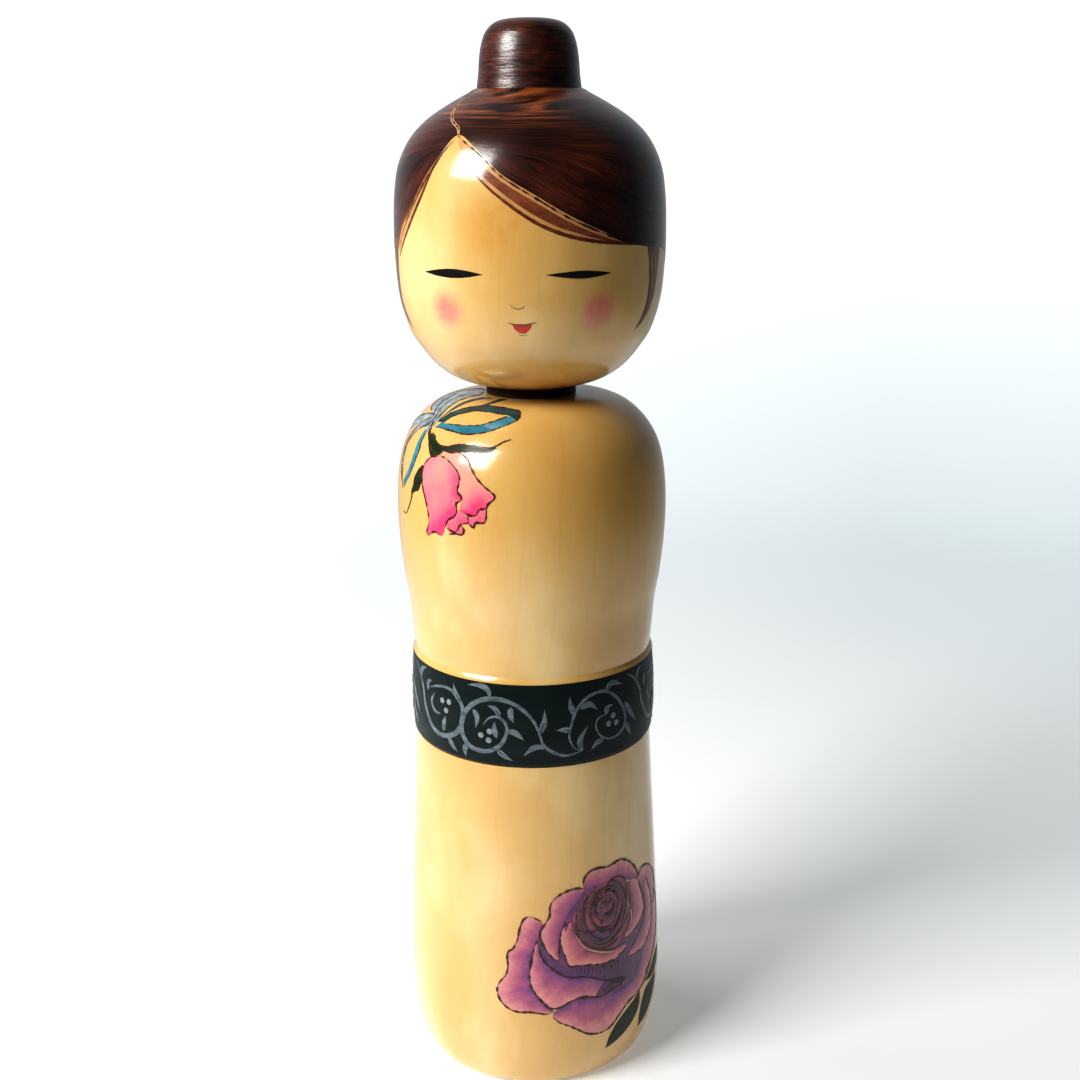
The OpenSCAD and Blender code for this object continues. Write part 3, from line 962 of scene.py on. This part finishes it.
PETALS = {
    "left": ([(6, 56.5), (5, 53), (3.5, 50), (2.5, 45), (2, 41), (2.5, 37), (4.5, 33.5), (7, 30.5),
              (8.8, 29)],
             [(5.5, 57.5), (3.6, 58.5), (1.6, 59), (0, 57.7), (-1, 54.8), (-1.5, 52), (-2.8, 49),
              (-4.5, 47.4), (-4.4, 43), (-5, 40.5), (-7, 37.6), (-7.6, 35), (-6.5, 32), (-4, 29.7),
              (-1, 28.9), (2, 29), (5, 28.5), (7, 28.2), (8.6, 28.8)]),
    "bottom": ([(8.8, 28.5), (11, 29.8), (13.5, 31.2), (17, 32), (21, 31.4), (25.5, 30.2), (31, 30),
                (37, 31), (43, 34)],
               [(8.6, 27), (10.7, 25), (13.6, 23.4), (16.3, 21.5), (19, 19.6), (22.3, 18.5),
                (25.4, 18.5), (28, 19.6), (31, 22.3), (34.6, 24.6), (39.5, 25.8), (44, 28.5),
                (48, 32)]),
    "right_low": ([(38, 32), (41.5, 37), (44, 43), (46, 48)],
                  [(43, 29.5), (49, 33), (54, 38), (56.5, 44), (55.5, 50), (51.5, 53.5)]),
    "right_top": ([(41, 58.5), (44, 55), (47, 50)],
                  [(40.6, 62.5), (42.5, 64.6), (47, 63.8), (51, 61), (53.8, 56.5), (54, 52), (51, 49)]),
    "top": ([(18.5, 66), (22, 65.8), (26, 64.4), (29, 65), (32, 64.4), (36, 63.3), (40.2, 61.8)],
            [(18.4, 66.6), (18.7, 69), (20.6, 70.8), (23.5, 71.2), (26.5, 70.7), (29.4, 71),
             (32.2, 71.3), (35.4, 69.8), (38.1, 67.4), (40, 64.6), (40.5, 62.2)]),
    "upper_left": ([(18.8, 65), (16.6, 62.5), (14.2, 60), (12.4, 57), (11.2, 53.5), (10.7, 50),
                    (10.6, 46)],
                   [(18.3, 66.1), (16, 66.5), (13.2, 66.1), (10.7, 65.1), (9, 63.8), (8, 61.6),
                    (7.9, 59), (6.5, 56.6), (5.2, 54.5), (5.2, 52.3), (6, 50), (7.4, 47.6),
                    (9, 45.6), (10.4, 45)]),
    "front": ([(4.6, 50), (5.2, 47), (6.8, 44.2), (9.3, 41.8), (12, 39.8), (14.5, 38.8), (17.6, 38.5),
               (21, 37.4), (24, 35.8), (28, 33.8), (32, 32.9)],
              [(3.8, 51), (3, 47.8), (2.3, 44.4), (1.9, 41), (2.3, 37.3), (3.8, 34.6), (5.6, 32.3),
               (8.2, 30), (10.8, 30), (13.6, 31.3), (16.3, 32), (19, 31.8), (23, 30.8),
               (27.5, 31.4), (32, 32.6)]),
    "right_wall": ([(43, 58), (44, 53), (43, 48.5), (39, 44), (34, 40.2)],
                   [(45.6, 60), (48.6, 54), (49.6, 48), (47.5, 42.5), (42, 39), (34.2, 39.4)]),
    "right_cup": ([(35, 61.5), (36.6, 57), (36.4, 52.5), (33.4, 48.6)],
                  [(38, 63.6), (40.4, 61.4), (42.4, 56.5), (43.5, 51.8), (41, 48.6), (36.8, 46.6),
                   (33, 46)]),
    "cup": ([(14.6, 56.2), (15.7, 52.9), (18.2, 49.4), (21, 47), (25, 45.2), (29, 44.3), (33.4, 44.6)],
            [(14.2, 56.6), (12.1, 55.2), (11.1, 53.2), (10.9, 50.6), (11.7, 47.8), (12.7, 45),
             (13.6, 42.7), (16.5, 42.4), (20, 41.8), (23.8, 41), (27.3, 40.8), (30.2, 41.5),
             (33.4, 43)]),
}
cup_wash = wash("cup_wash", (0.76, 0.29, 0.25), (0.56, 0.14, 0.17), (0.18, 0.028, 0.1), 0.5)
outer, inner = paint(), paint()
for level, (name, (base, rim)) in enumerate(PETALS.items()):
    fill(inner if "cup" in name else outer, skirt, base, rim, 0.045 + 0.008 * level)
dry(outer, "rose_petals", skirt, rose_wash)
dry(inner, "rose_cup", skirt, cup_wash)

# %% The heart of the rose
HEART = (26.2, 59)


def arc(radius, start, end, squash=1.0, middle=HEART, count=9):
    """Points of an arc round the heart, in degrees from +across towards up."""
    turns = (math.radians(start + (end - start) * k / count) for k in range(count + 1))
    return [(middle[0] + radius * math.cos(a), middle[1] + radius * squash * math.sin(a)) for a in turns]


HEART_PETALS = (
    (arc(6.6, 150, 350, 1.15, (24.5, 56)), arc(10.3, 160, 345, 1.1, (25, 55.5))),
    (arc(6.2, -60, 100, 1.1, (26.5, 57.5)), arc(9.5, -55, 80, 1.0, (27, 57.5))),
    (arc(4.2, 80, 250, 1.15), arc(7.2, 85, 245, 1.05, (25.5, 58.5))),
    (arc(3.0, 200, 400, 1.1), arc(5.6, 205, 395, 1.05, (26.6, 58.4))),
    (arc(1.6, 20, 210, 1.1), arc(3.7, 10, 200, 1.1)),
)
heart_wash = wash("heart_wash", (0.36, 0.07, 0.1), (0.15, 0.022, 0.055), (0.03, 0.008, 0.03), 0.65)
bm = paint()
for level, (base, rim) in enumerate(HEART_PETALS):
    fill(bm, skirt, base, rim, 0.13 + 0.01 * level, 0.8)
dot(bm, skirt, *HEART, 2.2, 0.17, 0.02)
dry(bm, "rose_heart", skirt, heart_wash)

# %% Shadows and bare lips between the petals
bm = paint()
fill(bm, skirt, [(21.5, 31), (23, 33.5), (25.5, 35), (29, 34.6), (34, 32.2)],
     [(22.4, 30.4), (24.5, 29.4), (27, 29.6), (30, 31), (34.2, 31.8)], 0.12, 0.6)
fill(bm, skirt, [(9.6, 44.8), (12, 42), (14, 40.4), (13.8, 42.4)],
     [(9.8, 45.4), (11.6, 45.2), (12.6, 44), (13.6, 42.6)], 0.1, 0.6)
for line, width in (([(19, 64.5), (16.5, 61.5), (14.2, 58), (12.4, 54)], 1.6),
                    ([(22, 65.6), (27, 64.8), (32, 65.2), (37, 64)], 1.0),
                    ([(16.5, 52), (19.5, 48.6), (24, 46.4), (30, 45.2)], 1.7),
                    ([(35.2, 60), (36.8, 55), (35.6, 50), (32, 46.8)], 1.5),
                    ([(43.6, 57), (44.6, 51), (42, 45.4), (36, 41.4)], 1.6)):
    stroke(bm, skirt, line, width, 0.12, sweep, 0.01, 0.5)
dry(bm, "rose_shadows", skirt, deep_fold)

bm = paint()
for line in ([(15.6, 52.2), (18, 48.2), (22, 45.6), (28.4, 43.6), (32, 44.2)],
             [(11.2, 52), (10.6, 49), (11, 47)], [(34.6, 57), (36.4, 52), (34.8, 48.6)]):
    stroke(bm, skirt, line, 0.3, 0.16, sweep)
dry(bm, "rose_lips", skirt, scraped)

# %% Leaves of the rose
bm = paint()
for low, high in (([(26.2, 11.4), (30.5, 12.6), (35, 14.8), (38.6, 18), (40.2, 21.4), (40, 25.4)],
                   [(26.4, 12), (27.2, 15.6), (29.8, 19.4), (33.8, 22.3), (37.3, 24), (39.8, 25.6)]),
                  ([(41.4, 12), (46, 13), (50, 16.5), (52.5, 21), (53, 24.6)],
                   [(41.2, 12.4), (41, 17), (42, 21.4), (44.6, 24.4), (52.6, 25)]),
                  ([(43.8, 26.6), (49, 25.6), (54, 27), (59, 31)],
                   [(44, 27), (48, 29.6), (53, 32), (58.8, 31.6)])):
    fill(bm, skirt, low, high, 0.04, 0.8)
dry(bm, "rose_leaves", skirt, green)

# %% Burnt outlines of the rose
bm = paint()
for name, (base, rim) in PETALS.items():
    stroke(bm, skirt, rim, 0.48, 0.17, pen, waver=0.9)
for line in (PETALS["left"][0][1:], PETALS["front"][0], PETALS["cup"][0][:-1],
             PETALS["upper_left"][0][3:],
             [(26, 64.5), (28, 66.2), (31, 66.5), (33.5, 65), (34.2, 61.5), (34.2, 58)],
             [(15.8, 53.8), (18.3, 52.8), (21, 52), (23.6, 53)],
             arc(9, -70, 40, 1.0, (27, 57.5)), arc(9.6, 165, 300, 1.05, (25.4, 56))):
    stroke(bm, skirt, line, 0.45, 0.2, pen, waver=0.8)
for line in ([(24.5, 31.6), (27, 33.4), (30, 33)], [(25.3, 30.8), (28, 32.2), (31, 31.6)],
             [(27, 34.6), (30, 34), (33, 32.8)], [(26, 33.4), (28, 30.6)], [(29, 34), (31.5, 31.4)],
             [(31, 34.4), (33.5, 32.2)], [(24, 33), (26.6, 31)]):
    stroke(bm, skirt, line, 0.4, 0.2, sweep, waver=0.9)
for k in range(12):
    x = 15.6 + 1.3 * k
    rim = height_at(PETALS["cup"][1][6:], x)
    stroke(bm, skirt, [(x, rim - 0.4), (x + 0.3, rim - 2.6)], 0.24, 0.18, sweep, waver=0.9)
GOLDEN_ANGLE = 137.5
for k in range(30):
    turn, size = GOLDEN_ANGLE * k, 0.6 + 0.28 * k
    shift = (HEART[0] - 0.02 * k + 0.6 * math.cos(k), HEART[1] - 0.08 * k + 0.6 * math.sin(2 * k))
    stroke(bm, skirt, arc(size, turn, turn + 75 + 40 * math.sin(3 * k), 1.1, shift), 0.5, 0.2,
           sweep, waver=0.9, step=0.4)
dry(bm, "rose_outline", skirt, burnt)

# %% [markdown]
# ## Stage
#
# The doll stands on a pale floor that fades into a pale surround, so there's no horizon behind it from
# any side. One window high on the left gives the highlights, and a broad low one fills that side
# without a reflection of its own. The room behind the viewer is dark and the far wall is pale, which is
# why the lacquer stays deep in front and turns silvery only along the rims. The surround has those two
# tones for the light that it gives, and stays pale to look at.

# %% Floor
FLOOR_REACH, FLOOR_GONE, FLOOR_WHOLE = 0.8, 0.75, 0.16
bm = bmesh.new()
bmesh.ops.create_circle(bm, cap_ends=True, segments=96, radius=FLOOR_REACH)
mesh = bpy.data.meshes.new("floor")
bm.to_mesh(mesh)
bm.free()
floor = bpy.data.objects.new("floor", mesh)
scene.collection.objects.link(floor)
floor_paint = bpy.data.materials.new("floor_paint")
floor_paint.use_nodes = True
tree = floor_paint.node_tree
shader = tree.nodes["Principled BSDF"]
shader.inputs["Base Color"].default_value = (0.88, 0.9, 0.91, 1)
shader.inputs["Roughness"].default_value = 0.7
shader.inputs["Specular IOR Level"].default_value = 0.2
shader.inputs["Emission Color"].default_value = (0.95, 0.98, 1, 1)
shader.inputs["Emission Strength"].default_value = 0.21
far = tree.nodes.new("ShaderNodeVectorMath")
far.operation = "LENGTH"
tree.links.new(tree.nodes.new("ShaderNodeTexCoord").outputs["Object"], far.inputs[0])
fade = tree.nodes.new("ShaderNodeMapRange")
fade.interpolation_type = "SMOOTHSTEP"
fade.inputs["From Min"].default_value = FLOOR_GONE
fade.inputs["From Max"].default_value = FLOOR_WHOLE
tree.links.new(far.outputs["Value"], fade.inputs["Value"])
tree.links.new(fade.outputs["Result"], shader.inputs["Alpha"])
mesh.materials.append(floor_paint)

# %% Surround
scene.view_settings.view_transform = "Standard"
scene.view_settings.look = "Medium High Contrast"
world = bpy.data.worlds.new("studio")
world.use_nodes = True
tree = world.node_tree
way = separate(tree, tree.nodes.new("ShaderNodeTexCoord").outputs["Generated"])


def across_room(axis, *stops):
    share = tree.nodes.new("ShaderNodeMapRange")
    share.inputs["From Min"].default_value = -1
    tree.links.new(way[axis], share.inputs["Value"])
    return ramp(tree, share.outputs["Result"], *stops)


pale = (0.98, 1, 0.99)
seen = across_room(0, (0.3, pale), (0.57, (0.6, 0.67, 0.69)))
seen = blend(tree, across_room(2, (0.36, 0.0), (0.5, 1.0)), seen, pale)
given = across_room(1, (0.35, (0.02, 0.021, 0.024)), (0.62, (0.07, 0.076, 0.08)), (0.95, (0.36, 0.39, 0.41)))
given = blend(tree, 1.0, given, across_room(0, (0.35, 1.0), (0.8, 0.7)), "MULTIPLY")
looking = tree.nodes.new("ShaderNodeLightPath").outputs["Is Camera Ray"]
tree.links.new(blend(tree, looking, given, seen), tree.nodes["Background"].inputs["Color"])
scene.world = world


# %% Window
AIM = 0.2


def window(name, around, high, far, size, power, colour, mirrored=True):
    """A square soft light that looks at the doll; mirrored says if the lacquer shows it."""
    light = bpy.data.lights.new(name, "AREA")
    light.size, light.energy, light.color = size, power, colour
    lamp = bpy.data.objects.new(name, light)
    a, h = math.radians(around), math.radians(high)
    middle = Vector((0, 0, AIM))
    reach = Vector((math.sin(a) * math.cos(h), -math.cos(a) * math.cos(h), math.sin(h))) * far
    lamp.location = middle + reach
    lamp.rotation_mode = "QUATERNION"
    lamp.rotation_quaternion = reach.to_track_quat("Z", "Y")
    lamp.visible_glossy = mirrored
    scene.collection.objects.link(lamp)


window("window", -50, 34, 1.0, 0.48, 11.8, (1, 0.98, 0.95))
window("side_window", -100, 14, 1.0, 0.8, 7.0, (1, 0.99, 0.97), mirrored=False)

# %% [markdown]
# ## The camera
#
# A hand-held close view: the lens is only 0.41 m away and looks down a little, so the head looks
# large and the foot small.

# %% Camera
AROUND, DOWN, ROLL, ASIDE = (math.radians(a) for a in (5.3, 15.9, -0.29, 0.316))
REACH, EYE = 0.4108, 0.2747
lens = bpy.data.cameras.new("camera")
lens.lens, lens.sensor_width = 49.4, 36
lens.clip_start, lens.clip_end = 0.01, 20
camera = bpy.data.objects.new("camera", lens)
camera.location = (REACH * math.sin(AROUND), -REACH * math.cos(AROUND), EYE)
camera.rotation_mode = "QUATERNION"
camera.rotation_quaternion = (Matrix.Rotation(AROUND - ASIDE, 3, "Z")
                              @ Matrix.Rotation(math.pi / 2 - DOWN, 3, "X")
                              @ Matrix.Rotation(ROLL, 3, "Z")).to_quaternion()
scene.collection.objects.link(camera)
scene.camera = camera
